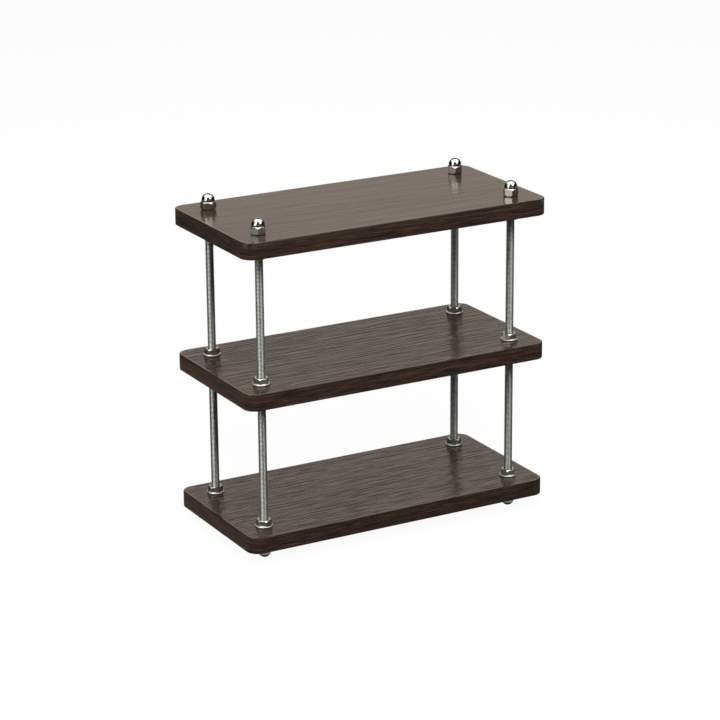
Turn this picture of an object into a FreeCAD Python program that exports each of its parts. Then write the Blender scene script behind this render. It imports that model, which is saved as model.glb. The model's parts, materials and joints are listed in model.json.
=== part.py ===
import FreeCAD, Part
import math
import os

# A three-tier desk shelf: three edged boards on four threaded rods.
# Flange nuts clamp the boards, and domed cap nuts close both ends of every rod.
# Sizes are in millimetres. +X runs along the front edge to the right, -Y faces the front, +Z is up.
# The origin is on the table, under the middle of the boards.

# The unit from its feet to its top nuts, and its boards
UNIT_HEIGHT = 327.7
SHELF_WIDTH = 320.0
SHELF_DEPTH = 155.5
BOARD_THICKNESS = 16.0
CORNER_RADIUS = 12.0
LOWER_GAP = 123.2

# Edging strip glued round each board, its ends meeting behind
EDGING_THICKNESS = 2.0
EDGING_ARRIS_RADIUS = 0.8
EDGING_SEAM = 0.2

# Threaded rods, measured over the crests of the thread
ROD_DIAMETER = 7.9
ROD_END_CHAMFER = 1.0
ROD_INSET_X = 26.1
ROD_INSET_Y = 26.7
ROD_HOLE_CLEARANCE = 0.5
THREAD_CLEARANCE = 0.05

# What every nut shares
HEX_ACROSS_FLATS = 13.0
HEX_CHAMFER_INSET = 0.3
HEX_CHAMFER_ANGLE = 45.0
BORE_COUNTERSINK = 0.5

# Flange nuts
FLANGE_NUT_HEIGHT = 6.8
FLANGE_DIAMETER = 16.5
FLANGE_RIM_HEIGHT = 1.2
FLANGE_HEIGHT = 2.0
FLANGE_RIM_RADIUS = 0.5

# Domed cap nuts
CAP_NUT_HEIGHT = 15.0
CAP_HEX_HEIGHT = 7.6
CAP_CHAMFER_ANGLE = 50.0
CAP_BASE_INSET = 0.7
CAP_BASE_ANGLE = 40.0
CAP_DOME_SHOULDER = 0.3
CAP_CROWN_THICKNESS = 4.0
CAP_END_GAP = 1.0

# Corners of the unit, as the signs of X and Y
CORNERS = {
    "front_left": (-1, -1),
    "front_right": (1, -1),
    "rear_left": (-1, 1),
    "rear_right": (1, 1),
}

# Degrees about +Z at which each nut came to rest when it was tightened
TIGHTENED_TURN = {
    "cap_nut": {"front_left": 1.5, "front_right": 11.0, "rear_left": 31.0, "rear_right": 1.5},
    "nut_under_top": {"front_left": 17.0, "front_right": 42.0, "rear_left": 8.0, "rear_right": 25.0},
    "nut_over_middle": {"front_left": 53.5, "front_right": 1.5, "rear_left": 39.5, "rear_right": 20.0},
    "nut_under_middle": {"front_left": 33.0, "front_right": 12.0, "rear_left": 50.0, "rear_right": 5.0},
    "nut_over_bottom": {"front_left": 22.0, "front_right": 54.0, "rear_left": 28.5, "rear_right": 45.0},
    "foot_nut": {"front_left": 6.0, "front_right": 36.0, "rear_left": 19.0, "rear_right": 48.0},
}

# Heights that follow from the stack
BOTTOM_UNDERSIDE = CAP_NUT_HEIGHT
BOTTOM_TOP = BOTTOM_UNDERSIDE + BOARD_THICKNESS
MIDDLE_UNDERSIDE = BOTTOM_TOP + LOWER_GAP
MIDDLE_TOP = MIDDLE_UNDERSIDE + BOARD_THICKNESS
TOP_TOP = UNIT_HEIGHT - CAP_NUT_HEIGHT
TOP_UNDERSIDE = TOP_TOP - BOARD_THICKNESS
BOARD_UNDERSIDES = {"bottom": BOTTOM_UNDERSIDE, "middle": MIDDLE_UNDERSIDE, "top": TOP_UNDERSIDE}

# Rod and bore sizes that follow from each other
ROD_RADIUS = ROD_DIAMETER / 2
ROD_HOLE_RADIUS = ROD_RADIUS + ROD_HOLE_CLEARANCE
NUT_BORE_RADIUS = ROD_RADIUS + THREAD_CLEARANCE
CAP_BORE_DEPTH = CAP_NUT_HEIGHT - CAP_CROWN_THICKNESS
ROD_LOW_END = BOTTOM_UNDERSIDE - CAP_BORE_DEPTH
ROD_HIGH_END = TOP_TOP + CAP_BORE_DEPTH - CAP_END_GAP

ORIGIN = FreeCAD.Vector(0, 0, 0)
UP = FreeCAD.Vector(0, 0, 1)
SIDEWAYS = FreeCAD.Vector(1, 0, 0)


def rod_axis(corner):
    """Where the rod of a corner stands, as X and Y."""
    sign_x, sign_y = CORNERS[corner]
    return sign_x * (SHELF_WIDTH / 2 - ROD_INSET_X), sign_y * (SHELF_DEPTH / 2 - ROD_INSET_Y)


def on_profile(point):
    """A (radius, height) point of a turned outline, as a place."""
    radius, height = point
    return FreeCAD.Vector(radius, 0, height)


def straight(start, end):
    """A straight stretch of a turned outline."""
    return Part.LineSegment(on_profile(start), on_profile(end)).toShape()


def round_stretch(centre, radius, start_angle, end_angle):
    """A round stretch of a turned outline, with the points where it starts and ends."""
    points = []
    for angle in (start_angle, (start_angle + end_angle) / 2, end_angle):
        turn = math.radians(angle)
        points.append((centre[0] + radius * math.cos(turn), centre[1] + radius * math.sin(turn)))
    arc = Part.Arc(*[on_profile(point) for point in points]).toShape()
    return arc, points[0], points[-1]


def turned(outline):
    """A solid turned about Z from a closed outline."""
    return Part.Face(outline).revolve(ORIGIN, UP, 360)


def turned_polygon(points):
    """A solid turned about Z from the (radius, height) corners of an outline."""
    corners = [on_profile(point) for point in points]
    return turned(Part.makePolygon(corners + corners[:1]))


def rounded_slab(width, depth, radius, underside):
    """A board's outline with round corners, one board thick."""
    block = Part.makeBox(
        width, depth, BOARD_THICKNESS, FreeCAD.Vector(-width / 2, -depth / 2, underside)
    )
    uprights = [edge for edge in block.Edges if edge.BoundBox.ZLength > BOARD_THICKNESS / 2]
    return block.makeFillet(radius, uprights)


def panel(underside):
    """The board inside its edging, drilled for the rods."""
    slab = rounded_slab(
        SHELF_WIDTH - 2 * EDGING_THICKNESS,
        SHELF_DEPTH - 2 * EDGING_THICKNESS,
        CORNER_RADIUS - EDGING_THICKNESS,
        underside,
    )
    holes = []
    for corner in CORNERS:
        x, y = rod_axis(corner)
        holes.append(
            Part.makeCylinder(ROD_HOLE_RADIUS, BOARD_THICKNESS, FreeCAD.Vector(x, y, underside))
        )
    return slab.cut(holes)


def edging(underside):
    """The strip round a board, with rounded arrises and a butt seam in the middle of the back."""
    outer = rounded_slab(SHELF_WIDTH, SHELF_DEPTH, CORNER_RADIUS, underside)
    arrises = [edge for edge in outer.Edges if edge.BoundBox.ZLength < BOARD_THICKNESS / 2]
    strip = outer.makeFillet(EDGING_ARRIS_RADIUS, arrises)
    inner = rounded_slab(
        SHELF_WIDTH - 2 * EDGING_THICKNESS,
        SHELF_DEPTH - 2 * EDGING_THICKNESS,
        CORNER_RADIUS - EDGING_THICKNESS,
        underside,
    )
    seam = Part.makeBox(
        EDGING_SEAM,
        SHELF_DEPTH / 2,
        BOARD_THICKNESS,
        FreeCAD.Vector(-EDGING_SEAM / 2, 0, underside),
    )
    return strip.cut([inner, seam])


def rod():
    """A rod with chamfered ends, standing at the origin's axis."""
    chamfered = ROD_RADIUS - ROD_END_CHAMFER
    return turned_polygon([
        (0, ROD_LOW_END),
        (chamfered, ROD_LOW_END),
        (ROD_RADIUS, ROD_LOW_END + ROD_END_CHAMFER),
        (ROD_RADIUS, ROD_HIGH_END - ROD_END_CHAMFER),
        (chamfered, ROD_HIGH_END),
        (0, ROD_HIGH_END),
    ])


def hexagon(height, top_angle, base_inset=0.0, base_angle=0.0):
    """A hexagonal bar whose upper corners, and if asked its base, are turned off to a cone."""
    corner_radius = HEX_ACROSS_FLATS / 2 / math.cos(math.radians(30))
    corners = []
    for k in range(6):
        angle = math.radians(60 * k)
        corners.append(
            FreeCAD.Vector(corner_radius * math.cos(angle), corner_radius * math.sin(angle), 0)
        )
    bar = Part.Face(Part.makePolygon(corners + corners[:1])).extrude(UP * height)
    face_radius = HEX_ACROSS_FLATS / 2 - HEX_CHAMFER_INSET
    top_drop = (corner_radius - face_radius) * math.tan(math.radians(top_angle))
    turning = [(0, 0)]
    if base_inset:
        base_radius = HEX_ACROSS_FLATS / 2 - base_inset
        base_rise = (corner_radius - base_radius) * math.tan(math.radians(base_angle))
        turning += [(base_radius, 0), (corner_radius, base_rise)]
    else:
        turning += [(corner_radius, 0)]
    turning += [(corner_radius, height - top_drop), (face_radius, height), (0, height)]
    return bar.common(turned_polygon(turning))


def bore(depth, through):
    """The threaded hole of a nut with its countersinks, as the solid to cut away."""
    sunk = NUT_BORE_RADIUS + BORE_COUNTERSINK
    outline = [(0, 0), (sunk, 0), (NUT_BORE_RADIUS, BORE_COUNTERSINK)]
    if through:
        outline += [(NUT_BORE_RADIUS, depth - BORE_COUNTERSINK), (sunk, depth)]
    else:
        outline += [(NUT_BORE_RADIUS, depth)]
    outline += [(0, depth)]
    return turned_polygon(outline)


def flange_nut():
    """A hexagon nut with a conical, round-rimmed flange, its flange down at height zero."""
    rim = FLANGE_DIAMETER / 2
    hex_radius = HEX_ACROSS_FLATS / 2
    cone_angle = math.degrees(math.atan2(FLANGE_HEIGHT - FLANGE_RIM_HEIGHT, rim - hex_radius))
    upright = 90 - cone_angle
    round_x = rim - FLANGE_RIM_RADIUS
    round_top = FLANGE_RIM_HEIGHT - FLANGE_RIM_RADIUS * math.tan(math.radians(upright / 2))
    lower_round, bearing_edge, rim_low = round_stretch(
        (round_x, FLANGE_RIM_RADIUS), FLANGE_RIM_RADIUS, -90, 0
    )
    upper_round, rim_high, cone_edge = round_stretch(
        (round_x, round_top), FLANGE_RIM_RADIUS, 0, upright
    )
    outline = Part.Wire([
        straight((0, 0), bearing_edge),
        lower_round,
        straight(rim_low, rim_high),
        upper_round,
        straight(cone_edge, (hex_radius, FLANGE_HEIGHT)),
        straight((hex_radius, FLANGE_HEIGHT), (0, FLANGE_HEIGHT)),
        straight((0, FLANGE_HEIGHT), (0, 0)),
    ])
    flange = turned(outline)
    body = hexagon(FLANGE_NUT_HEIGHT, HEX_CHAMFER_ANGLE).fuse(flange)
    return body.cut(bore(FLANGE_NUT_HEIGHT, through=True)).removeSplitter()


def cap_nut():
    """A hexagon nut closed by a dome, with a blind bore, its open face down at height zero."""
    dome_radius = HEX_ACROSS_FLATS / 2 - CAP_DOME_SHOULDER
    inside = CAP_HEX_HEIGHT / 2
    crown, spring, tip = round_stretch((0, CAP_NUT_HEIGHT - dome_radius), dome_radius, 0, 90)
    outline = Part.Wire([
        straight((0, inside), (dome_radius, inside)),
        straight((dome_radius, inside), spring),
        crown,
        straight(tip, (0, inside)),
    ])
    dome = turned(outline)
    hex_part = hexagon(CAP_HEX_HEIGHT, CAP_CHAMFER_ANGLE, CAP_BASE_INSET, CAP_BASE_ANGLE)
    body = hex_part.fuse(dome)
    return body.cut(bore(CAP_BORE_DEPTH, through=False)).removeSplitter()


def placed(shape, corner, height, turn=0.0, upside_down=False):
    """A copy of a rod or nut set on a corner's axis, turned, and flipped over where it points down."""
    copy = shape.copy()
    if upside_down:
        copy.rotate(ORIGIN, SIDEWAYS, 180)
    copy.rotate(ORIGIN, UP, turn)
    x, y = rod_axis(corner)
    copy.translate(FreeCAD.Vector(x, y, height))
    return copy


def main():
    nodes = {}
    for name, underside in BOARD_UNDERSIDES.items():
        nodes[name + "_panel"] = panel(underside)
        nodes[name + "_edging"] = edging(underside)

    # Each kind of nut: its shape, the board face that it bears on, and whether it points down
    nuts = {
        "cap_nut": (cap_nut(), TOP_TOP, False),
        "nut_under_top": (flange_nut(), TOP_UNDERSIDE, True),
        "nut_over_middle": (flange_nut(), MIDDLE_TOP, False),
        "nut_under_middle": (flange_nut(), MIDDLE_UNDERSIDE, True),
        "nut_over_bottom": (flange_nut(), BOTTOM_TOP, False),
        "foot_nut": (cap_nut(), BOTTOM_UNDERSIDE, True),
    }
    plain_rod = rod()
    for corner in CORNERS:
        nodes["rod_" + corner] = placed(plain_rod, corner, 0)
        for kind, (shape, face, upside_down) in nuts.items():
            turn = TIGHTENED_TURN[kind][corner]
            nodes[kind + "_" + corner] = placed(shape, corner, face, turn, upside_down)

    os.makedirs("parts", exist_ok=True)
    for name, shape in nodes.items():
        shape.exportStep("parts/" + name + ".step")
        print(name, "valid" if shape.isValid() else "NOT VALID", len(shape.Solids), round(shape.Volume, 1))


main()
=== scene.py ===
# %% [markdown]
# A desk shelf on threaded rods, dressed for a product picture.
# The packed model brings the sizes, the places and the bodies that move. Blender adds what a maker
# would call the finish: the wood print on the boards, the thread on the rods, and the plated and
# polished metal of the nuts. Every piece made here is put where the model says, so nothing is
# fitted by eye. The model's own box is measured right after loading.

# %% Load the packed model
import json
import math
from collections import namedtuple

import bmesh
import bpy
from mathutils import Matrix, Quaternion, Vector


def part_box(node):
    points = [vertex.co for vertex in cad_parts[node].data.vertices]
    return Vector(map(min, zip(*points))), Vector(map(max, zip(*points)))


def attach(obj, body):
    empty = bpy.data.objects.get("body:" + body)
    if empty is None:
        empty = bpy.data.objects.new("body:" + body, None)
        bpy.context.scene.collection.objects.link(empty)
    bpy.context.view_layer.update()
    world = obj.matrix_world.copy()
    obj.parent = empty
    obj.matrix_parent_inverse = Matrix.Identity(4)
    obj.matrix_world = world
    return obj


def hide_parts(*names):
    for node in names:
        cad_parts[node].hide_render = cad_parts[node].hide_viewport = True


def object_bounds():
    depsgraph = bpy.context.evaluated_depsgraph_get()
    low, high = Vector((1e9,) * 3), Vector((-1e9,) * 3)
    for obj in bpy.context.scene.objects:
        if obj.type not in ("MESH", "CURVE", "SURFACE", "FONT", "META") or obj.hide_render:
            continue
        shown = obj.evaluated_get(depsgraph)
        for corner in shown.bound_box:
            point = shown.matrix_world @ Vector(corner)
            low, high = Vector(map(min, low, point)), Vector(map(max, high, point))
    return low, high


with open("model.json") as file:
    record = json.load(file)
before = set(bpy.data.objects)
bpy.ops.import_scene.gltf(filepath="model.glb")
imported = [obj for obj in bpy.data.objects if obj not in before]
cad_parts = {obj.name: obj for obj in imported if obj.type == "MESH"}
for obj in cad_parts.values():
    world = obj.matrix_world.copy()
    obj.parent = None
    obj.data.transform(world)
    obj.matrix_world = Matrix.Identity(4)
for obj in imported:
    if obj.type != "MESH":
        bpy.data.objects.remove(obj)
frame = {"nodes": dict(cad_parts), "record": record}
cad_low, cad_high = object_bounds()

MM = 0.001

# %% [markdown]
# The camera comes first, because every later choice is judged through it.
# A long lens from a few metres away keeps the rods almost parallel, as product pictures do. Its
# direction is given as two angles and a distance round a point near the middle board, which is
# easier to reason about than a location and three Euler angles. A Blender camera looks along its
# own minus Z axis, so to_track_quat turns that axis back at the shelf. The small roll is the tilt
# of a frame held by hand. Lamps and cards use the same kind of angles, counted from the camera.

# %% Camera
CAMERA_AZIMUTH = -28.985
CAMERA_ELEVATION = 18.119
CAMERA_ROLL = 0.458
CAMERA_DISTANCE = 2.5584
CAMERA_TARGET = Vector((0.00366, 0.01027, 0.15330))
CAMERA_LENS = 133.155
CAMERA_FAR_CLIP = 50.0


def direction(turn, rise):
    """The way out from the shelf, in degrees round from the camera and degrees up."""
    azimuth = math.radians(CAMERA_AZIMUTH + turn)
    rise = math.radians(rise)
    return Vector((
        math.sin(azimuth) * math.cos(rise), -math.cos(azimuth) * math.cos(rise), math.sin(rise)
    ))


def facing_back(outward):
    """The rotation of a camera or lamp that stands out that way and looks back at the shelf."""
    return (-outward).to_track_quat("-Z", "Y")


def add_object(name, data):
    """A new object in the scene, at the origin."""
    made = bpy.data.objects.new(name, data)
    bpy.context.scene.collection.objects.link(made)
    return made


towards_camera = direction(0.0, CAMERA_ELEVATION)
roll = Quaternion((0, 0, 1), -math.radians(CAMERA_ROLL))
camera = add_object("camera", bpy.data.cameras.new("camera"))
camera.data.lens = CAMERA_LENS
camera.data.clip_end = CAMERA_FAR_CLIP
camera.location = CAMERA_TARGET + towards_camera * CAMERA_DISTANCE
camera.rotation_mode = "QUATERNION"
camera.rotation_quaternion = facing_back(towards_camera) @ roll
bpy.context.scene.camera = camera
print("camera stands", round(camera.location.z, 3), "m above the table")

# %% [markdown]
# Shader graphs get long, and long graphs are hard to read as a list of nodes and links.
# So one small class wraps an output socket and lets Python's own operators add the Math nodes:
# `1 - mask * 0.3` is then exactly what the graph does.

# %% A socket that does sums
class Value:
    """An output socket. Arithmetic on it adds Math nodes to its finish."""

    def __init__(self, finish, socket):
        self.finish = finish
        self.socket = socket

    def __add__(self, other):
        return self.finish.math("ADD", self, other)

    def __sub__(self, other):
        return self.finish.math("SUBTRACT", self, other)

    def __rsub__(self, other):
        return self.finish.math("SUBTRACT", other, self)

    def __mul__(self, other):
        return self.finish.math("MULTIPLY", self, other)

    __radd__ = __add__
    __rmul__ = __mul__


print("reflected forms:", ", ".join(name for name in vars(Value) if name.startswith("__r")))

# %% [markdown]
# Any node that isn't a sum comes from one method, `Finish.node`. It takes the node's type, its
# settings, and what goes into its sockets: a number or colour is set on the socket, a Value is
# linked to it. The other methods are short names for the few nodes that the finishes here share.

# %% A finish under construction
class Finish:
    """A material or a world under construction."""

    def __init__(self, owner):
        owner.use_nodes = True
        self.owner = owner
        self.tree = owner.node_tree
        self.tree.nodes.clear()

    def node(self, kind, settings=None, inputs=None, output=0):
        """Adds a node and gives the output asked for, or None where it has no outputs."""
        made = self.tree.nodes.new(kind)
        for name, value in (settings or {}).items():
            setattr(made, name, value)
        for key, value in (inputs or {}).items():
            if isinstance(value, Value):
                self.tree.links.new(value.socket, made.inputs[key])
            else:
                made.inputs[key].default_value = value
        return Value(self, made.outputs[output]) if len(made.outputs) else None

    def math(self, operation, *terms):
        return self.node("ShaderNodeMath", {"operation": operation}, dict(enumerate(terms)))

    def place(self, source):
        """Where a point of the surface is, in Object or UV coordinates."""
        return self.node("ShaderNodeTexCoord", output=source)

    def part(self, source, axis):
        """One of the three numbers of a place."""
        return self.node("ShaderNodeSeparateXYZ", inputs={0: self.place(source)}, output=axis)

    def stretched(self, source, scale):
        """A place with each axis multiplied by its own scale."""
        return self.node("ShaderNodeMapping", inputs={"Vector": self.place(source), "Scale": scale})

    def noise(self, vector, detail=2.0, roughness=0.5):
        return self.node(
            "ShaderNodeTexNoise",
            inputs={"Vector": vector, "Scale": 1.0, "Detail": detail, "Roughness": roughness},
        )

    def step(self, value, low, high):
        """A value spread from 0 at low to 1 at high, and held there beyond."""
        return self.node(
            "ShaderNodeMapRange",
            {"interpolation_type": "SMOOTHSTEP"},
            {"Value": value, "From Min": low, "From Max": high},
        )

    def blend(self, share, first, second):
        """A colour between two others. Sockets 6 and 7 are where a Mix node takes its colours."""
        return self.node(
            "ShaderNodeMix",
            {"data_type": "RGBA"},
            {"Factor": share, 6: first, 7: second},
            output=2,
        )

    def surface(self, shader):
        self.node("ShaderNodeOutputMaterial", inputs={"Surface": shader})
        return self.owner


def new_finish(name):
    return Finish(bpy.data.materials.new(name))


print("short names:", ", ".join(name for name in vars(Finish) if not name.startswith("_")))

# %% [markdown]
# The studio is a white room: a pale table top that keeps a faint shadow, and a white world.
# What the camera and the mirror-like metal see of the room is white, while the light that falls on
# the shelf stays at a plain level, so that colours render about as they are written. More lamps
# would also whiten the room, but they would bleach the wood with it. Light Path tells the two
# apart, so the white costs the shelf no colour.

# %% Table top and world
FLOOR_SIDE = 40.0
FLOOR_COLOUR = (0.86, 0.86, 0.85, 1.0)
FLOOR_GRAIN = (30.0, 30.0, 30.0)
FLOOR_WHITE_SHARE = 0.95
WHITE = (1.0, 1.0, 1.0, 1.0)
WORLD_LIGHT = 0.2


def seen_directly(finish):
    """1 for what the camera sees, straight, in a reflection or through glass; 0 for other light."""
    seen = 0.0
    for output in ("Is Camera Ray", "Is Glossy Ray", "Is Transmission Ray"):
        seen = finish.math("MAXIMUM", seen, finish.node("ShaderNodeLightPath", output=output))
    return seen


def table_finish():
    finish = new_finish("table_top")
    grain = finish.noise(finish.stretched("Object", FLOOR_GRAIN), detail=3.0)
    matt = finish.node(
        "ShaderNodeBsdfDiffuse", inputs={"Color": FLOOR_COLOUR, "Roughness": 0.5 + 0.2 * grain}
    )
    white = finish.node("ShaderNodeEmission", inputs={"Color": WHITE})
    share = seen_directly(finish) * FLOOR_WHITE_SHARE
    return finish.surface(finish.node("ShaderNodeMixShader", inputs={0: share, 1: matt, 2: white}))


def flat_sheet(name, width, depth):
    """A rectangle round the origin of its own object."""
    x, y = width / 2, depth / 2
    mesh = bpy.data.meshes.new(name)
    mesh.from_pydata([(-x, -y, 0), (x, -y, 0), (x, y, 0), (-x, y, 0)], [], [(0, 1, 2, 3)])
    return add_object(name, mesh)


floor = flat_sheet("table_top", FLOOR_SIDE, FLOOR_SIDE)
floor.data.materials.append(table_finish())

world = bpy.data.worlds.new("studio")
bpy.context.scene.world = world
room = Finish(world)
room_light = WORLD_LIGHT + seen_directly(room) * (1.0 - WORLD_LIGHT)
room_white = room.node("ShaderNodeBackground", inputs={"Color": WHITE, "Strength": room_light})
room.node("ShaderNodeOutputWorld", inputs={"Surface": room_white})
bpy.context.scene.view_settings.view_transform = "Standard"
print("table top:", FLOOR_SIDE, "m wide, world light:", WORLD_LIGHT)

# %% [markdown]
# Five soft lamps do the lighting: a broad one overhead, one on each side of the camera, a fill
# above the camera and one behind the shelf. They are area lamps, because a large source gives the
# soft shading of a studio picture, where a point or a sun would draw hard lines. Three of them also
# show in the metal as bright windows. The fill and the rear lamp are hidden from mirror
# reflections, because they are there for the wood alone. All are slightly warm. Each is placed by
# the angle it stands at, seen from the shelf: how far round from the camera, how high.

# %% Lamps
SHELF_MIDDLE = Vector((0.0, 0.0, cad_high.z / 2))
LAMP_COLOUR = (1.0, 0.965, 0.91)
LAMPS = (
    # name, degrees round, degrees up, distance, width, height, power, mirrored
    ("overhead_lamp", 0.0, 82.0, 1.7, 2.1, 1.42, 22.0, True),
    ("left_lamp", -41.0, 26.0, 2.3, 0.8, 1.5, 10.0, True),
    ("right_lamp", 43.0, 42.0, 2.3, 0.85, 1.3, 6.0, True),
    ("fill_lamp", 0.0, 32.0, 2.2, 1.2, 0.7, 36.0, False),
    ("rear_lamp", 180.0, 38.0, 2.2, 1.2, 0.7, 14.0, False),
)

for name, turn, rise, distance, width, height, power, mirrored in LAMPS:
    light = bpy.data.lights.new(name, "AREA")
    light.shape = "RECTANGLE"
    light.size = width
    light.size_y = height
    light.energy = power
    light.color = LAMP_COLOUR
    lamp = add_object(name, light)
    outward = direction(turn, rise)
    lamp.location = SHELF_MIDDLE + outward * distance
    lamp.rotation_mode = "QUATERNION"
    lamp.rotation_quaternion = facing_back(outward)
    lamp.visible_glossy = mirrored
print("lamps:", len(LAMPS), "of which mirrored:", sum(lamp[-1] for lamp in LAMPS))

# %% [markdown]
# Polished metal and lacquer only show what stands round them. In an all-white room the nuts would
# look like white plastic, so photographers set sheets of paper round such things, and so does this
# scene. The sheets glow by themselves and are seen in reflections only, so they take no light away
# and throw no shadow. Real, lit sheets would do too, but each would then change the light as well.

# %% Paper for reflections
PAPER_GRAIN = (40.0, 40.0, 40.0)
PAPER_SHADES = (0.9, 1.1)


def paper_finish(name, colour):
    """Paper that glows in its own colour, a little clouded."""
    finish = new_finish(name)
    cloud = finish.noise(finish.stretched("Object", PAPER_GRAIN))
    dim, bright = ((*(part * shade for part in colour), 1.0) for shade in PAPER_SHADES)
    tone = finish.blend(cloud, dim, bright)
    return finish.surface(finish.node("ShaderNodeEmission", inputs={"Color": tone}))


def show_in_reflections(sheet, colour):
    sheet.data.materials.append(paper_finish(sheet.name, colour))
    sheet.visible_camera = False
    sheet.visible_diffuse = False
    sheet.visible_transmission = False
    sheet.visible_shadow = False


print("paper varies between", PAPER_SHADES[0], "and", PAPER_SHADES[1], "times its colour")

# %% [markdown]
# The standing sheets are cards: black ones at the sides, dark ones above and behind, and a grey one
# where the camera stands. The cream card behind the shelf is the one that the boards mirror: it
# lays a pale sheen over the dark wood. A card is a patch of a sphere round the shelf, and not a
# flat plane, because its angles then say directly which reflections it fills.

# %% Cards
CARD_DISTANCE = 2.0
CARD_STEPS = 8
BLACK = (0.01, 0.01, 0.01)
CHARCOAL = (0.05, 0.05, 0.05)
SLATE = (0.09, 0.09, 0.09)
TAUPE = (0.30, 0.265, 0.235)
CREAM = (0.612, 0.545, 0.482)
CARDS = (
    # name, from and to in degrees round, from and to in degrees up, colour
    ("left_card", -160.0, -66.0, -12.0, 36.0, BLACK),
    ("right_card", 66.0, 160.0, -12.0, 36.0, BLACK),
    ("low_right_card", 30.0, 66.0, -12.0, 24.0, CHARCOAL),
    ("low_back_card", 160.0, 200.0, -12.0, -1.0, TAUPE),
    ("back_card", 160.0, 200.0, -1.0, 31.0, CREAM),
    ("upper_back_card", 160.0, 200.0, 31.0, 40.0, CHARCOAL),
    ("header_card", 128.0, 232.0, 40.0, 52.0, CHARCOAL),
    ("ceiling_card", 148.0, 212.0, 52.0, 72.0, CHARCOAL),
    ("camera_card", -30.0, 30.0, -12.0, 60.0, SLATE),
)


def sphere_patch(name, turn_from, turn_to, rise_from, rise_to):
    """A grid of faces on a sphere round the shelf, between the angles given."""
    points = []
    for row in range(CARD_STEPS + 1):
        rise = rise_from + (rise_to - rise_from) * row / CARD_STEPS
        for column in range(CARD_STEPS + 1):
            turn = turn_from + (turn_to - turn_from) * column / CARD_STEPS
            points.append(SHELF_MIDDLE + direction(turn, rise) * CARD_DISTANCE)
    faces = []
    for row in range(CARD_STEPS):
        for column in range(CARD_STEPS):
            here = row * (CARD_STEPS + 1) + column
            above = here + CARD_STEPS + 1
            faces.append((here, here + 1, above + 1, above))
    mesh = bpy.data.meshes.new(name)
    mesh.from_pydata(points, [], faces)
    return add_object(name, mesh)


for name, turn_from, turn_to, rise_from, rise_to, colour in CARDS:
    show_in_reflections(sphere_patch(name, turn_from, turn_to, rise_from, rise_to), colour)
print("cards:", len(CARDS))

# %% [markdown]
# The lying sheets are mats, for what mirrors the table: the edges of the boards, the flats of the
# nuts and the feet. A wide grey one keeps the white table out of them, a brown one on the left
# warms the end of the boards, and a narrow pale one lies under the front feet to lighten them. They
# are flat, and lie a hair apart so that no two share a plane.

# %% Mats
MATS = (
    # name, middle along x and y, width, depth, colour
    ("mat", 0.0, 0.0, 3.2, 3.2, (0.07, 0.07, 0.07)),
    ("left_mat", -0.33, 0.25, 0.34, 0.60, (0.185, 0.140, 0.110)),
    ("front_mat", 0.0, -0.064, 0.31, 0.032, (0.26, 0.26, 0.24)),
)
MAT_LIFT = 0.5 * MM

for layer, (name, x, y, width, depth, colour) in enumerate(MATS, start=1):
    mat = flat_sheet(name, width, depth)
    mat.location = (x, y, layer * MAT_LIFT)
    show_in_reflections(mat, colour)
print("mats:", len(MATS), "the highest at", round(mat.location.z / MM, 2), "mm")

# %% [markdown]
# The boards are chipboard faced with a printed wood foil, and their edges carry a strip with the
# same kind of print. A photograph of wood would be the quick way, but it has seams and one fixed
# size. Here every layer of the print is the same Noise texture, drawn out along the grain: two
# numbers, a length and a width, decide how each layer reads. The layers are added up to one tone,
# and the tone picks a colour between dark, brown and a lighter streak.

# %% Wood print
STREAK_ROUGHNESS = 0.55
BROWN_TONES = (0.36, 0.52)
LIGHT_TONES = (0.48, 0.66)
LIGHT_SHARE = 0.8


def streaks(finish, source, length, width, detail=2.0):
    """Noise drawn out along the first axis into streaks of about this length and width."""
    scale = (1.0 / length, 1.0 / width, 1.0 / width)
    return finish.noise(finish.stretched(source, scale), detail, STREAK_ROUGHNESS)


def wood_colour(finish, tone, dark, brown, light):
    """Dark where the tone is low, then brown, and most of the way to light where it is high."""
    colour = finish.blend(finish.step(tone, *BROWN_TONES), dark, brown)
    return finish.blend(finish.step(tone, *LIGHT_TONES) * LIGHT_SHARE, colour, light)


print("tones that turn brown:", BROWN_TONES, "and light:", LIGHT_TONES)

# %% [markdown]
# The print on the faces is dark. What makes the faces look paler than the edges is the satin
# lacquer, which mirrors the room at a low angle, so the colours are written dark and the gloss does
# the rest. The foil is also pressed: narrow grooves along the grain over a broader swell, which
# break the sheen into streaks. A Bump node is enough for that, because none of it is deep enough
# to show in the outline of a board. The top board comes from a smoother sheet than the other two,
# and each has its own gloss.

# %% Board faces
FACE_DARK = (0.025, 0.0162, 0.0130, 1.0)
FACE_BROWN = (0.0425, 0.0273, 0.0213, 1.0)
FACE_TAN = (0.072, 0.0480, 0.0365, 1.0)
FACE_PORE = (0.010, 0.0066, 0.0052, 1.0)
PORE_TONES = (0.58, 0.68)
PORE_SHARE = 0.4
SWELL_DEPTH = 0.28 * MM
BOARDS = {
    # depth of the pressed grooves, gloss
    "bottom": (1.1 * MM, 0.58),
    "middle": (1.1 * MM, 0.32),
    "top": (0.25 * MM, 0.50),
}


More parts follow.
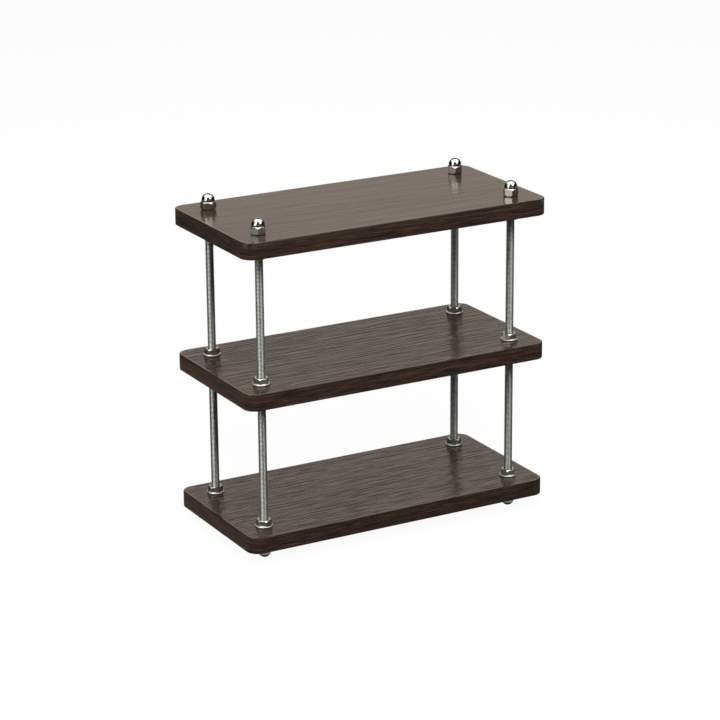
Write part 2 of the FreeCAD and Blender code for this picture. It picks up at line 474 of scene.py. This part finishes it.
def laminate_finish(name, groove_depth, gloss):
    finish = new_finish(name)
    cloud = streaks(finish, "Object", length=180 * MM, width=28 * MM)
    streak = streaks(finish, "Object", length=48 * MM, width=4.6 * MM, detail=3.0)
    fibre = streaks(finish, "Object", length=22 * MM, width=1.7 * MM)
    dash = streaks(finish, "Object", length=12 * MM, width=0.6 * MM, detail=1.0)
    groove = streaks(finish, "Object", length=40 * MM, width=2.8 * MM, detail=1.0)
    swell = streaks(finish, "Object", length=100 * MM, width=10 * MM, detail=1.0)
    pore = finish.step(dash, *PORE_TONES)
    tone = 0.35 * cloud + 0.35 * streak + 0.3 * fibre
    colour = wood_colour(finish, tone, FACE_DARK, FACE_BROWN, FACE_TAN)
    relief = groove_depth * groove + SWELL_DEPTH * swell
    pressed = finish.node(
        "ShaderNodeBump", inputs={"Strength": 1.0, "Distance": 1.0, "Height": relief}
    )
    lacquer = finish.node(
        "ShaderNodeBsdfPrincipled",
        inputs={
            "Base Color": finish.blend(PORE_SHARE * pore, colour, FACE_PORE),
            "Roughness": 0.11 + 0.06 * fibre + 0.08 * pore,
            "Specular IOR Level": gloss,
            "Normal": pressed,
        },
    )
    return finish.surface(lacquer)


for board, (groove_depth, gloss) in BOARDS.items():
    panel = frame["nodes"][board + "_panel"]
    panel.data.materials.clear()
    panel.data.materials.append(laminate_finish(board + "_laminate", groove_depth, gloss))
print("boards faced:", ", ".join(BOARDS))

# %% [markdown]
# From here on, pieces are new meshes that each stand for a node of the packed model. A piece rides
# on the body that carries the node, hides the node and gets a material of its own. One function
# does all of it, so that no piece can be left behind when the middle board moves. Smooth shading
# is cut where two faces meet at more than a given angle, which keeps real edges crisp.

# %% Putting a piece in a node's place
body_of_node = {}
for body, members in frame["record"]["behaviour"]["bodies"].items():
    for member in members:
        body_of_node[member] = body


def add_piece(node, suffix, mesh, material, sharp_angle, place=(0, 0, 0), turn=(0, 0, 0)):
    """Shows a mesh instead of a node. It is placed first, because riding keeps it where it is."""
    mesh.materials.append(material)
    mesh.shade_smooth()
    mesh.set_sharp_from_angle(angle=math.radians(sharp_angle))
    piece = add_object(node + suffix, mesh)
    piece.location = place
    piece.rotation_euler = turn
    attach(piece, body_of_node[node])
    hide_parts(node)


print("nodes on bodies:", len(body_of_node))

# %% [markdown]
# The edging is a thin plastic strip, ironed round the board with its ends meeting behind, and its
# arrises scraped round. Blender could bevel a box, but the print has to run along the strip and
# bend round the corners with it. So the strip is swept: a small section is carried along the
# board's outline. Both are short lists of points, with the round stretches worked out as arcs.

# %% Outline of a board, section of its strip
CORNER_RADIUS = 10.0 * MM
CORNER_STEPS = 24
SEAM = 0.2 * MM
ARRIS_RADIUS = 0.8 * MM
ARRIS_STEPS = 6


def quarter_turn(start, steps):
    """Directions through a quarter of a circle, from a start in degrees."""
    for step in range(steps + 1):
        angle = math.radians(start + 90.0 * step / steps)
        yield Vector((math.cos(angle), math.sin(angle)))


def board_outline(low, high):
    """Points and outward directions round a board, from the seam behind, left end first."""
    left, right = low.x + CORNER_RADIUS, high.x - CORNER_RADIUS
    front, back = low.y + CORNER_RADIUS, high.y - CORNER_RADIUS
    corners = ((left, back, 90.0), (left, front, 180.0), (right, front, 270.0), (right, back, 0.0))
    backward = Vector((0, 1))
    path = [(Vector((-SEAM / 2, high.y)), backward)]
    for x, y, start in corners:
        for outward in quarter_turn(start, CORNER_STEPS):
            path.append((Vector((x, y)) + outward * CORNER_RADIUS, outward))
    path.append((Vector((SEAM / 2, high.y)), backward))
    return path


def strip_section(thickness, height):
    """Depth and height round the strip's section, from its lower inner edge outwards and up."""
    section = [Vector((0.0, 0.0))]
    for centre, start in ((ARRIS_RADIUS, -90.0), (height - ARRIS_RADIUS, 0.0)):
        for outward in quarter_turn(start, ARRIS_STEPS):
            section.append(Vector((thickness - ARRIS_RADIUS, centre)) + outward * ARRIS_RADIUS)
    section.append(Vector((0.0, height)))
    return section


print("points round a corner:", CORNER_STEPS + 1, "and round an arris:", ARRIS_STEPS + 1)

# %% [markdown]
# Carrying the section along the outline gives rows of points, which faces join. The distances along
# the outline and round the section become the UV coordinates, in metres, so that a streak on the
# strip can be given a real length and width. Unwrapping by Blender would lose that scale.

# %% Sweeping the strip
def running_length(points, start=0.0):
    """How far along a line of points each one lies."""
    lengths = [start]
    for here, there in zip(points, points[1:]):
        lengths.append(lengths[-1] + math.dist(here, there))
    return lengths


def sweep_strip(name, path, section, base, print_start):
    """A closed mesh of the section carried along the path, with UVs in metres."""
    rows, columns = len(path), len(section)
    points = []
    for place, outward in path:
        for depth, height in section:
            flat = place + outward * depth
            points.append((flat.x, flat.y, base + height))
    faces = []
    for row in range(rows - 1):
        here, there = row * columns, (row + 1) * columns
        for column in range(columns):
            after = (column + 1) % columns
            faces.append((here + column, there + column, there + after, here + after))
    faces.append(tuple(range(columns)))
    faces.append(tuple(reversed(range((rows - 1) * columns, rows * columns))))
    mesh = bpy.data.meshes.new(name)
    mesh.from_pydata(points, [], faces)
    along = running_length([place for place, outward in path], print_start)
    around = running_length(section)
    layer = mesh.uv_layers.new(name="strip")
    for loop in mesh.loops:
        row, column = divmod(loop.vertex_index, columns)
        layer.data[loop.index].uv = (along[row], around[column])
    return mesh


widest = [place for place, outward in board_outline(cad_low, cad_high)]
print("round the widest board:", round(running_length(widest)[-1], 3), "m")

# %% [markdown]
# The strip's print is darker and redder than that of the faces, with finer streaks. Its top flat
# was burnished when the arris was scraped, and shows as a thin light line round each board: that
# is a clear coat which starts at a given way round the section. Each strip is cut from another
# place on the roll, so the print starts somewhere else on every board.

# %% Edging finish and pieces
EDGE_DARK = (0.0062, 0.0037, 0.0028, 1.0)
EDGE_BROWN = (0.0220, 0.0129, 0.0091, 1.0)
EDGE_RED = (0.058, 0.0320, 0.0215, 1.0)
EDGE_RELIEF_STRENGTH = 0.25
EDGE_RELIEF_DEPTH = 0.04 * MM
BURNISHED_FROM = 17.7 * MM
BURNISHED_FADE = 0.3 * MM
BURNISHED_COAT = 0.9
PRINT_STARTS = {"bottom": 8.87, "middle": 0.40, "top": 6.56}
STRIP_SHARP_ANGLE = 35.0


def edging_finish():
    finish = new_finish("wenge_edging")
    cloud = streaks(finish, "UV", length=90 * MM, width=7 * MM)
    streak = streaks(finish, "UV", length=60 * MM, width=2.4 * MM, detail=3.0)
    fibre = streaks(finish, "UV", length=22 * MM, width=1.2 * MM)
    tone = 0.15 * cloud + 0.35 * streak + 0.5 * fibre
    burnished = finish.step(finish.part("UV", "Y"), BURNISHED_FROM, BURNISHED_FROM + BURNISHED_FADE)
    pressed = finish.node(
        "ShaderNodeBump",
        inputs={"Strength": EDGE_RELIEF_STRENGTH, "Distance": EDGE_RELIEF_DEPTH, "Height": fibre},
    )
    plastic = finish.node(
        "ShaderNodeBsdfPrincipled",
        inputs={
            "Base Color": wood_colour(finish, tone, EDGE_DARK, EDGE_BROWN, EDGE_RED),
            "Roughness": 0.10 + 0.08 * fibre,
            "Coat Weight": BURNISHED_COAT * burnished,
            "Normal": pressed,
        },
    )
    return finish.surface(plastic)


wenge_edging = edging_finish()
for board, print_start in PRINT_STARTS.items():
    node = board + "_edging"
    panel_low, panel_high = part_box(board + "_panel")
    strip_low, strip_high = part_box(node)
    thickness = panel_low.x - strip_low.x
    section = strip_section(thickness, strip_high.z - strip_low.z)
    path = board_outline(panel_low, panel_high)
    mesh = sweep_strip(node + "_strip", path, section, strip_low.z, print_start)
    add_piece(node, "_strip", mesh, wenge_edging, STRIP_SHARP_ANGLE)
    print(node, "is", round(thickness / MM, 2), "mm thick, with", len(mesh.polygons), "faces")

# %% [markdown]
# The rods are steel with a rolled metric thread over their whole length.
# A bump texture would show no teeth against the white room, so the thread is real geometry. Its
# rows follow the helix: each row climbs one pitch in a turn, and four rows per pitch give the flat
# crest, the flank, the root and the other flank. One turn more at the foot covers the stretch that
# the climb leaves open. At both ends the rows are cut off level and chamfered. That leaves points
# on top of each other, which are welded, and two round holes, which are closed.

# %% Thread
THREAD_PITCH = 1.25 * MM
THREAD_DEPTH = 0.68 * MM
THREAD_COLUMNS = 32
THREAD_ROWS = (
    # share of the pitch, share of the depth
    (0.00, 0.0),
    (0.13, 0.0),
    (0.44, 1.0),
    (0.69, 1.0),
)
ROD_CHAMFER = 1.0 * MM
WELD_DISTANCE = 0.0005 * MM


def close_ends(mesh):
    """Welds the points that were cut off level and closes the two round holes they leave."""
    shape = bmesh.new()
    shape.from_mesh(mesh)
    bmesh.ops.remove_doubles(shape, verts=shape.verts, dist=WELD_DISTANCE)
    rims = [edge for edge in shape.edges if edge.is_boundary]
    bmesh.ops.holes_fill(shape, edges=rims, sides=THREAD_COLUMNS)
    bmesh.ops.recalc_face_normals(shape, faces=shape.faces)
    shape.to_mesh(mesh)
    shape.free()


def thread_mesh(name, crest_radius, length):
    """A closed threaded bar standing on its own origin."""
    rows = []
    for turn in range(-1, math.ceil(length / THREAD_PITCH) + 1):
        for share, depth in THREAD_ROWS:
            rows.append(((turn + share) * THREAD_PITCH, crest_radius - depth * THREAD_DEPTH))
    points = []
    for height, radius in rows:
        for column in range(THREAD_COLUMNS):
            angle = 2 * math.pi * column / THREAD_COLUMNS
            climbed = height + THREAD_PITCH * column / THREAD_COLUMNS
            z = min(max(climbed, 0.0), length)
            reach = min(radius, crest_radius - ROD_CHAMFER + min(z, length - z))
            points.append((reach * math.cos(angle), reach * math.sin(angle), z))
    faces = []
    for row in range(len(rows) - 1):
        first = row * THREAD_COLUMNS
        last = first + THREAD_COLUMNS - 1
        for here in range(first, last):
            faces.append((here, here + 1, here + THREAD_COLUMNS + 1, here + THREAD_COLUMNS))
        turn_above = first + len(THREAD_ROWS) * THREAD_COLUMNS
        if turn_above + THREAD_COLUMNS < len(points):
            faces.append((last, turn_above, turn_above + THREAD_COLUMNS, last + THREAD_COLUMNS))
    mesh = bpy.data.meshes.new(name)
    mesh.from_pydata(points, [], faces)
    close_ends(mesh)
    return mesh


print("thread:", round(THREAD_PITCH / MM, 2), "mm pitch,", round(THREAD_DEPTH / MM, 2), "mm deep")

# %% [markdown]
# Rods and nuts are plated steel, and one function makes all their finishes: a base clouded between
# two colours, a rough or polished surface, fine scratches as bump. On top of it come zones, which
# say how the metal changes with the distance from the axis or with the height: painted shade in the
# roots of a thread, a painted highlight on the rim of a flange, darker flats on a hexagon, a painted
# shadow at the base of a nut. Painting vertex colours would also do, but a zone stays exact however
# the mesh is divided.

# %% Plated metal
Zone = namedtuple("Zone", "measure start full colour roughness metallic")
CLOUD_SHADES = (0.3, 0.7)
SCRATCH_STRETCH = (9.0, 9.0, 2.0)
SCRATCH_DEPTH = 0.03 * MM


def from_axis(finish):
    """Distance from the piece's own upright axis."""
    flat = finish.stretched("Object", (1.0, 1.0, 0.0))
    return finish.node("ShaderNodeVectorMath", {"operation": "LENGTH"}, {0: flat}, output="Value")


def plated_metal(name, colours, roughness, grain, zones, scratches=0.15):
    """Metal clouded between two colours and two roughnesses, with zones laid over it in order."""
    finish = new_finish(name)
    cloud = finish.noise(finish.stretched("Object", (grain, grain, grain)), detail=4.0, roughness=0.6)
    scratch = finish.noise(finish.stretched("Object", [grain * stretch for stretch in SCRATCH_STRETCH]))
    measures = {"radius": from_axis(finish), "height": finish.part("Object", "Z")}
    smooth, rough = roughness
    colour = finish.blend(finish.step(cloud, *CLOUD_SHADES), *colours)
    dullness = smooth + (rough - smooth) * cloud
    metallic = 1.0
    for zone in zones:
        share = finish.step(measures[zone.measure], zone.start, zone.full)
        colour = finish.blend(share, colour, zone.colour)
        dullness = dullness + share * (zone.roughness - dullness)
        metallic = metallic + share * (zone.metallic - metallic)
    scratched = finish.node(
        "ShaderNodeBump", inputs={"Strength": scratches, "Distance": SCRATCH_DEPTH, "Height": scratch}
    )
    metal = finish.node(
        "ShaderNodeBsdfPrincipled",
        inputs={"Base Color": colour, "Metallic": metallic, "Roughness": dullness, "Normal": scratched},
    )
    return finish.surface(metal)


print("a zone says:", ", ".join(Zone._fields))

# %% [markdown]
# The rods have a pale, rather rough zinc plating, and the thread's roots carry painted shade: their
# colour is darkened where the thread is deepest. The four of them take their place, radius and
# length from the packed model. Four instances of one mesh would be lighter, but every piece here
# owns its mesh, as it can then be exported by itself.

# %% Threaded rods
CORNERS = ("front_left", "front_right", "rear_left", "rear_right")
THREAD_SHARP_ANGLE = 150.0
# Painted shade: the colour goes dark towards the roots of the thread, where the thread is deepest.
ROOT_SHADE_ZONE = Zone("radius", 3.80 * MM, 3.25 * MM, (0.05, 0.05, 0.045, 1.0), 0.45, 1.0)
zinc_rod = plated_metal(
    "zinc_rod",
    colours=((0.80, 0.84, 0.79, 1.0), (0.91, 0.96, 0.90, 1.0)),
    roughness=(0.36, 0.46),
    grain=120.0,
    zones=[ROOT_SHADE_ZONE],
)

for corner in CORNERS:
    node = "rod_" + corner
    low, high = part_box(node)
    mesh = thread_mesh(node + "_thread", (high.x - low.x) / 2, high.z - low.z)
    foot = ((low.x + high.x) / 2, (low.y + high.y) / 2, low.z)
    add_piece(node, "_thread", mesh, zinc_rod, THREAD_SHARP_ANGLE, foot)
print("rods:", len(CORNERS), "with", len(mesh.vertices), "points each")

# %% [markdown]
# All nuts share one idea: a turned part whose radius is a hexagon for some of its height.
# Cutting a hexagonal bar with a cone by Boolean would also work, but it leaves long thin faces that
# shade badly. So a nut is a stack of rings, and each ring is a radius and a height that may depend
# on the angle. On the flats the radius is the hexagon's. Where a turned cone cuts the hexagon's
# corners, the height drops as the radius grows, and that draws the curved chamfer line of a real
# nut. The points stand closer together beside the corners, where this line bends most.

# %% Radius and height of a ring
ACROSS_FLATS = 13.0 * MM
SIDES = 6
SECTOR = 360.0 / SIDES
BESIDE_CORNER = (1.2, 3.0, 6.0, 10.0)
ALONG_FLAT = range(15, 50, 5)
SECTOR_TURNS = (0.0, *BESIDE_CORNER, *ALONG_FLAT, *(SECTOR - turn for turn in reversed(BESIDE_CORNER)))
NUT_ANGLES = [math.radians(SECTOR * side + turn) for side in range(SIDES) for turn in SECTOR_TURNS]
CORNER_TRIM = 0.06 * MM
CORNER_REACH = ACROSS_FLATS / 2 / math.cos(math.radians(SECTOR / 2)) - CORNER_TRIM


def hexagon(angle):
    """Radius of the hexagon at an angle, its corners eased; a corner lies at angle zero."""
    from_flat = math.remainder(angle - math.radians(SECTOR / 2), math.radians(SECTOR))
    return min(ACROSS_FLATS / 2 / math.cos(from_flat), CORNER_REACH)


def circle(radius):
    return lambda angle: radius


def level(height):
    return lambda angle: height


def cut_by_cone(height, radius, rise):
    """Where a cone through a circle of that height and radius meets the hexagon."""
    return lambda angle: height + max(hexagon(angle) - radius, 0.0) * rise


print("points round a nut:", len(NUT_ANGLES), "across corners:", round(2 * CORNER_REACH / MM, 2), "mm")

# %% [markdown]
# The rings are joined in order by quads. A nut with a through bore is a tube, so its last ring is
# joined to its first. A blind nut ends in a small disc at both ends of its stack instead.

# %% Rings to a mesh
def ring_mesh(name, rings, solid_ends):
    """Rings of (radius, height) functions joined in order, closed by end discs or into a tube."""
    columns = len(NUT_ANGLES)
    points = []
    for radius, height in rings:
        for angle in NUT_ANGLES:
            reach = radius(angle)
            points.append((reach * math.cos(angle), reach * math.sin(angle), height(angle)))
    last = len(rings) - 1
    joined = list(zip(range(last), range(1, last + 1)))
    if not solid_ends:
        joined.append((last, 0))
    faces = []
    for ring, other in joined:
        here, there = ring * columns, other * columns
        for column in range(columns):
            after = (column + 1) % columns
            faces.append((here + column, here + after, there + after, there + column))
    if solid_ends:
        for ring, order in ((0, -1), (last, 1)):
            centre = len(points)
            points.append((0.0, 0.0, rings[ring][1](0.0)))
            for column in range(columns):
                side = (ring * columns + column, ring * columns + (column + 1) % columns)
                faces.append((*side[::order], centre))
    mesh = bpy.data.meshes.new(name)
    mesh.from_pydata(points, [], faces)
    return mesh


print("faces between two rings:", len(NUT_ANGLES))

# %% [markdown]
# A flange nut clamps a board from either side. Its rings start at the bore's lower rim, go round
# the flange, up its conical top and the hexagon, over the chamfered upper face and down the bore.
# The flange's round rim is two arcs of one radius, the second ending where the cone begins.

# %% Flange nut
NUT_BORE = 4.0 * MM
COUNTERSINK = 0.5 * MM
FACE_INSET = 0.3 * MM
FACE_RADIUS = ACROSS_FLATS / 2 - FACE_INSET
FACE_CHAMFER = -math.tan(math.radians(45.0))
FLANGE_RIM = 1.2 * MM
FLANGE_HEIGHT = 2.0 * MM
RIM_RADIUS = 0.5 * MM
RIM_STEPS = 5


def rim_rings(radius, height, start, sweep):
    """Rings of the rim's round about a circle, through a stretch of its section in degrees."""
    rings = []
    for step in range(RIM_STEPS + 1):
        angle = math.radians(start + sweep * step / RIM_STEPS)
        reach, rise = RIM_RADIUS * math.cos(angle), RIM_RADIUS * math.sin(angle)
        rings.append((circle(radius + reach), level(height + rise)))
    return rings


def flange_nut_rings(height, flange_radius):
    slope = (FLANGE_HEIGHT - FLANGE_RIM) / (flange_radius - ACROSS_FLATS / 2)
    to_cone = 90.0 - math.degrees(math.atan(slope))
    shoulder = FLANGE_RIM - RIM_RADIUS * math.tan(math.radians(to_cone / 2))
    return [
        (circle(NUT_BORE + COUNTERSINK), level(0.0)),
        *rim_rings(flange_radius - RIM_RADIUS, RIM_RADIUS, -90.0, 90.0),
        *rim_rings(flange_radius - RIM_RADIUS, shoulder, 0.0, to_cone),
        (hexagon, lambda angle: FLANGE_RIM + (flange_radius - hexagon(angle)) * slope),
        (hexagon, cut_by_cone(height, FACE_RADIUS, FACE_CHAMFER)),
        (circle(FACE_RADIUS), level(height)),
        (circle(NUT_BORE + COUNTERSINK), level(height)),
        (circle(NUT_BORE), level(height - COUNTERSINK)),
        (circle(NUT_BORE), level(COUNTERSINK)),
    ]


print("flange:", round(FLANGE_RIM / MM, 2), "to", round(FLANGE_HEIGHT / MM, 2), "mm high")

# %% [markdown]
# A cap nut closes the end of a rod, and under the bottom board it is the foot. Its rings start at
# the blind end of the bore, come out at the base, climb the hexagon and end at the tip of the dome,
# which is half a ball.

# %% Cap nut
CAP_HEX_HEIGHT = 7.6 * MM
CAP_CHAMFER = -math.tan(math.radians(50.0))
CAP_BASE_INSET = 0.7 * MM
CAP_BASE_RADIUS = ACROSS_FLATS / 2 - CAP_BASE_INSET
CAP_BASE_CHAMFER = math.tan(math.radians(40.0))
CAP_CROWN = 4.0 * MM
BLIND_END_RADIUS = 0.2 * MM
DOME_RADIUS = 6.2 * MM
DOME_LIFT = 0.1 * MM
DOME_STEPS = 20
DOME_TIP_RADIUS = 0.186 * MM


def cap_nut_rings(height):
    rings = [
        (circle(BLIND_END_RADIUS), level(height - CAP_CROWN)),
        (circle(NUT_BORE), level(height - CAP_CROWN)),
        (circle(NUT_BORE), level(COUNTERSINK)),
        (circle(NUT_BORE + COUNTERSINK), level(0.0)),
        (circle(CAP_BASE_RADIUS), level(0.0)),
        (hexagon, cut_by_cone(0.0, CAP_BASE_RADIUS, CAP_BASE_CHAMFER)),
        (hexagon, cut_by_cone(CAP_HEX_HEIGHT, FACE_RADIUS, CAP_CHAMFER)),
        (circle(FACE_RADIUS), level(CAP_HEX_HEIGHT)),
        (circle(DOME_RADIUS), level(CAP_HEX_HEIGHT + DOME_LIFT)),
    ]
    for step in range(DOME_STEPS):
        angle = math.radians(90.0 * step / DOME_STEPS)
        reach, rise = DOME_RADIUS * math.cos(angle), DOME_RADIUS * math.sin(angle)
        rings.append((circle(reach), level(height - DOME_RADIUS + rise)))
    rings.append((circle(DOME_TIP_RADIUS), level(height)))
    return rings


print("dome:", round(2 * DOME_RADIUS / MM, 2), "mm across, in", DOME_STEPS, "steps")

# %% [markdown]
# The flange nuts are zinc-plated like the rods, but smoother, with darker flats and a painted
# highlight on the rim: a pale, less metallic band that stands in for the light it catches. The cap
# nuts are polished: the dome is a mirror, the flats are less so, and the shoulder under the dome is
# a little rougher and painted darker, a painted dark reflection. The ones underneath are the feet of
# the shelf, so their tips are dull, and painted dark as shade where they stand on the table. All
# have a painted shadow at the base, a dark line where a nut meets its board.
# A material for each of these places would need cuts in the mesh; the zones need none.

# %% Nut finishes
# Painted shadow: a dark band low on every nut, where it meets its board.
BASE_SHADOW_ZONE = Zone("height", 0.90 * MM, 0.50 * MM, (0.06, 0.055, 0.05, 1.0), 0.5, 1.0)
# Painted highlight: a pale, partly metallic band round the flange's rim, standing in for the light it
# catches.
RIM_HIGHLIGHT_ZONE = Zone("radius", 7.50 * MM, 7.75 * MM, (0.92, 0.90, 0.84, 1.0), 0.40, 0.75)
FLAT_ZONE = Zone("radius", 5.9 * MM, 6.1 * MM, (0.48, 0.51, 0.46, 1.0), 0.17, 0.93)
CAP_FLAT_ZONE = Zone("radius", 6.22 * MM, 6.42 * MM, (0.495, 0.49, 0.44, 1.0), 0.15, 0.96)
# Painted dark reflection: the shoulder and lower part of the dome are darkened in colour.
SHOULDER_SHADE_ZONE = Zone("height", 9.8 * MM, 8.4 * MM, (0.40, 0.39, 0.36, 1.0), 0.08, 1.0)
# Painted shade: the feet's tips are dark and dull where they stand on the table.
TIP_SHADE_ZONE = Zone("height", 10.6 * MM, 11.8 * MM, (0.03, 0.03, 0.027, 1.0), 0.8, 0.0)
NUT_COLOURS = ((0.53, 0.55, 0.49, 1.0), (0.64, 0.65, 0.58, 1.0))
NUT_ZONES = [FLAT_ZONE, RIM_HIGHLIGHT_ZONE, BASE_SHADOW_ZONE]
NUT_GRAIN = 160.0
CAP_COLOURS = ((0.70, 0.70, 0.64, 1.0), (0.76, 0.76, 0.70, 1.0))
CAP_ZONES = [SHOULDER_SHADE_ZONE, CAP_FLAT_ZONE, BASE_SHADOW_ZONE]
FOOT_ZONES = CAP_ZONES + [TIP_SHADE_ZONE]

zinc_nut = plated_metal("zinc_nut", NUT_COLOURS, (0.12, 0.20), NUT_GRAIN, NUT_ZONES)
polished_cap = plated_metal(
    "polished_cap", CAP_COLOURS, (0.04, 0.07), NUT_GRAIN, CAP_ZONES, scratches=0.02
)
polished_foot = plated_metal(
    "polished_foot", CAP_COLOURS, (0.06, 0.12), NUT_GRAIN, FOOT_ZONES, scratches=0.1
)
print("nut finishes:", zinc_nut.name, polished_cap.name, polished_foot.name)

# %% [markdown]
# The nuts are placed from the packed model: the axis and the height from each node's box, and the
# turn at which it was tightened from the direction of a hexagon corner in the node's own mesh.
# Typed angles would do until someone turned a nut in the model. A nut under a board is the same
# mesh turned upside down.

# %% Where a nut sits
NUT_SHARP_ANGLE = 24.0


def corner_turn(node, centre, low, high):
    """Direction of a hexagon corner of a node, read between two heights."""
    reach, turn = 0.0, 0.0
    for vertex in frame["nodes"][node].data.vertices:
        x, y = vertex.co.x - centre.x, vertex.co.y - centre.y
        if low < vertex.co.z < high and math.hypot(x, y) > reach:
            reach, turn = math.hypot(x, y), math.atan2(y, x)
    return turn


def place_nut(node, mesh, material, under, hex_span):
    """Stands a nut on its board or hangs it under it, given where its hexagon starts and ends."""
    low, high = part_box(node)
    centre = (low + high) / 2
    base = high.z if under else low.z
    upward = -1.0 if under else 1.0
    hex_low, hex_high = sorted(base + upward * height for height in hex_span)
    turn = corner_turn(node, centre, hex_low, hex_high)
    tipped = math.pi if under else 0.0
    place = (centre.x, centre.y, base)
    add_piece(node, "_turned", mesh, material, NUT_SHARP_ANGLE, place, (tipped, 0.0, turn))


print("nodes that are nuts:", sum("nut_" in node for node in frame["nodes"]))

# %% [markdown]
# Each corner has four flange nuts and two cap nuts. A flange nut's name says which board it belongs
# to and on which side it sits. Its hexagon is read a little above its flange, whose round rim would
# otherwise be taken for a corner. A loop over the corners makes all of them, because the model
# already knows everything that differs.

# %% Nuts
ABOVE_FLANGE = 0.5 * MM
FLANGE_NUTS = (
    # first part of the name, under its board
    ("nut_under_top", True),
    ("nut_over_middle", False),
    ("nut_under_middle", True),
    ("nut_over_bottom", False),
)
CAP_NUTS = (
    # first part of the name, under its board, finish
    ("cap_nut", False, polished_cap),
    ("foot_nut", True, polished_foot),
)

for corner in CORNERS:
    for kind, under in FLANGE_NUTS:
        node = kind + "_" + corner
        low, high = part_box(node)
        height, flange_radius = high.z - low.z, (high.x - low.x) / 2
        mesh = ring_mesh(node + "_turned", flange_nut_rings(height, flange_radius), solid_ends=False)
        place_nut(node, mesh, zinc_nut, under, (FLANGE_HEIGHT + ABOVE_FLANGE, height))
    for kind, under, finish in CAP_NUTS:
        node = kind + "_" + corner
        low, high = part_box(node)
        mesh = ring_mesh(node + "_turned", cap_nut_rings(high.z - low.z), solid_ends=True)
        place_nut(node, mesh, finish, under, (0.0, CAP_HEX_HEIGHT))
print("nuts made:", len(CORNERS) * (len(FLANGE_NUTS) + len(CAP_NUTS)))

# %% [markdown]
